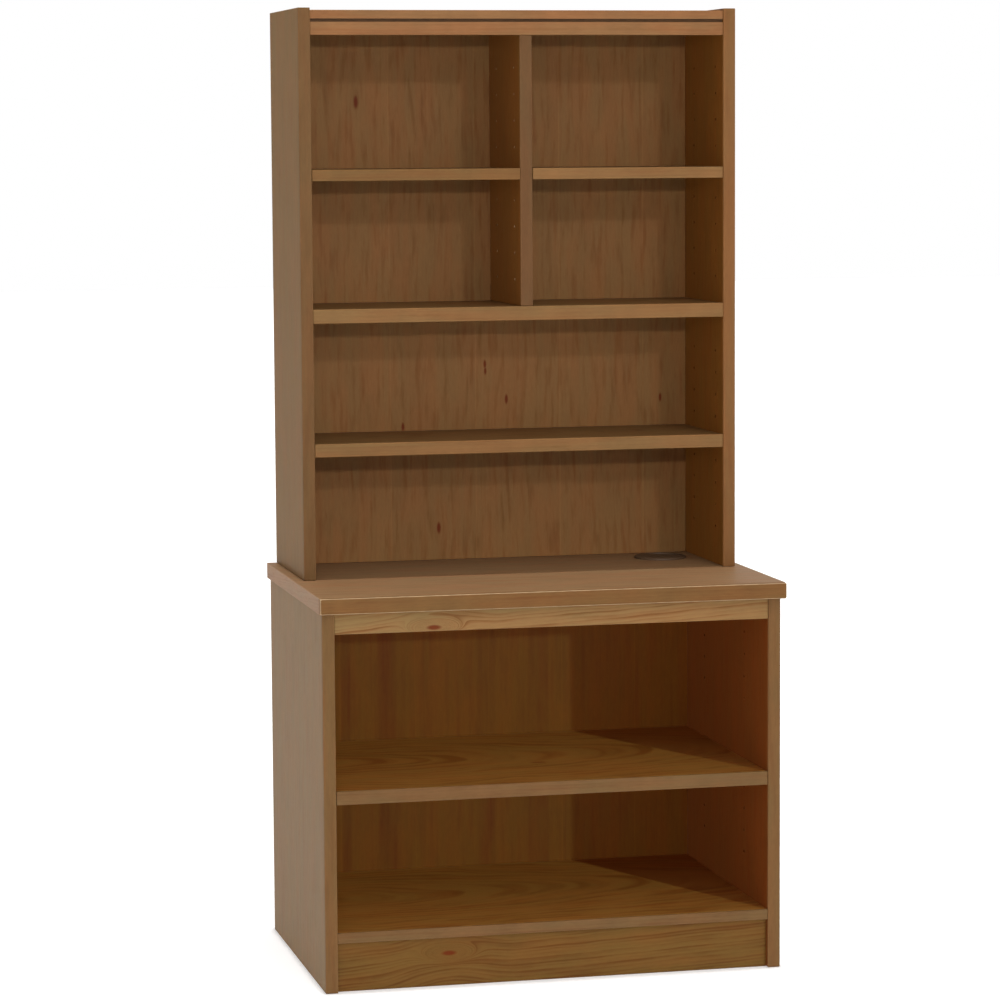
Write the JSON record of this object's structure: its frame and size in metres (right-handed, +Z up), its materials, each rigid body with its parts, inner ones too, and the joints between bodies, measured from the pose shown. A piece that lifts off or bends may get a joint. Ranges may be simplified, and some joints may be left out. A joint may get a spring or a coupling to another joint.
{
  "type": "desk hutch on open base bookcase",
  "caption": "Open shelving hutch with a centre divider and adjustable shelves, standing on a desk-height open bookcase with a worktop and cable grommet.",
  "frame": {"origin": "on the floor, in the middle of the unit's width and depth", "axes": "+Z up, -Y out of the open front, +X to the right as seen from the front"},
  "size_m": [0.88, 0.58, 1.796],
  "materials": {
    "walnut_veneer": "satin lacquered walnut veneer, grain along the board",
    "walnut_lipping": "satin lacquered solid wood, lighter than the veneer",
    "walnut_back": "satin lacquered veneer, upright grain",
    "brown_plastic": "dark brown moulded plastic, fine matt texture",
    "zinc_steel": "bright zinc plated steel",
    "beech_dowel": "raw beech"
  },
  "bodies": {
    "root": {"base_side_left": "walnut_veneer", "base_side_left_lipping": "walnut_lipping", "base_side_right": "walnut_veneer", "base_side_right_lipping": "walnut_lipping", "base_back_panel": "walnut_back", "base_bottom_panel": "walnut_veneer", "base_bottom_lipping": "walnut_lipping", "base_plinth": "walnut_lipping", "base_top_rail": "walnut_lipping", "base_rear_rail": "walnut_veneer", "worktop": "walnut_veneer", "worktop_lipping": "walnut_lipping", "hutch_side_left": "walnut_veneer", "hutch_side_left_lipping": "walnut_lipping", "hutch_side_right": "walnut_veneer", "hutch_side_right_lipping": "walnut_lipping", "hutch_cornice_rail": "walnut_lipping", "hutch_top_panel": "walnut_veneer", "hutch_back_panel": "walnut_back", "hutch_fixed_shelf": "walnut_veneer", "hutch_fixed_shelf_lipping": "walnut_lipping", "hutch_divider": "walnut_veneer", "hutch_divider_lipping": "walnut_lipping", "grommet_sleeve": "brown_plastic", "base_shelf_pin_left_front": "zinc_steel", "base_shelf_pin_left_rear": "zinc_steel", "base_shelf_pin_right_front": "zinc_steel", "base_shelf_pin_right_rear": "zinc_steel", "half_shelf_left_pin_left_front": "zinc_steel", "half_shelf_left_pin_left_rear": "zinc_steel", "half_shelf_left_pin_right_front": "zinc_steel", "half_shelf_left_pin_right_rear": "zinc_steel", "half_shelf_right_pin_left_front": "zinc_steel", "half_shelf_right_pin_left_rear": "zinc_steel", "half_shelf_right_pin_right_front": "zinc_steel", "half_shelf_right_pin_right_rear": "zinc_steel", "lower_shelf_pin_left_front": "zinc_steel", "lower_shelf_pin_left_rear": "zinc_steel", "lower_shelf_pin_right_front": "zinc_steel", "lower_shelf_pin_right_rear": "zinc_steel", "hutch_dowel_left_front": "beech_dowel", "hutch_dowel_left_rear": "beech_dowel", "hutch_dowel_right_front": "beech_dowel", "hutch_dowel_right_rear": "beech_dowel", "hutch_screw_left_front": "zinc_steel", "hutch_screw_left_rear": "zinc_steel", "hutch_screw_right_front": "zinc_steel", "hutch_screw_right_rear": "zinc_steel"},
    "grommet_cap": {"grommet_cap": "brown_plastic"},
    "base_shelf": {"base_shelf": "walnut_veneer", "base_shelf_lipping": "walnut_lipping"},
    "half_shelf_left": {"half_shelf_left": "walnut_veneer", "half_shelf_left_lipping": "walnut_lipping"},
    "half_shelf_right": {"half_shelf_right": "walnut_veneer", "half_shelf_right_lipping": "walnut_lipping"},
    "lower_shelf": {"lower_shelf": "walnut_veneer", "lower_shelf_lipping": "walnut_lipping"}
  },
  "joints": [
    {"name": "base_shelf_slide", "type": "slide", "parent": "root", "child": "base_shelf", "axis": [0, -1, 0], "range_m": [0, 0.36]},
    {"name": "half_shelf_left_slide", "type": "slide", "parent": "root", "child": "half_shelf_left", "axis": [0, -1, 0], "range_m": [0, 0.18]},
    {"name": "half_shelf_right_slide", "type": "slide", "parent": "root", "child": "half_shelf_right", "axis": [0, -1, 0], "range_m": [0, 0.18]},
    {"name": "lower_shelf_slide", "type": "slide", "parent": "root", "child": "lower_shelf", "axis": [0, -1, 0], "range_m": [0, 0.18]},
    {"name": "grommet_cap_turn", "type": "hinge", "parent": "root", "child": "grommet_cap", "pos_m": [0.322, 0.16, 0.733], "axis": [0, 0, 1], "continuous": true}
  ]
}
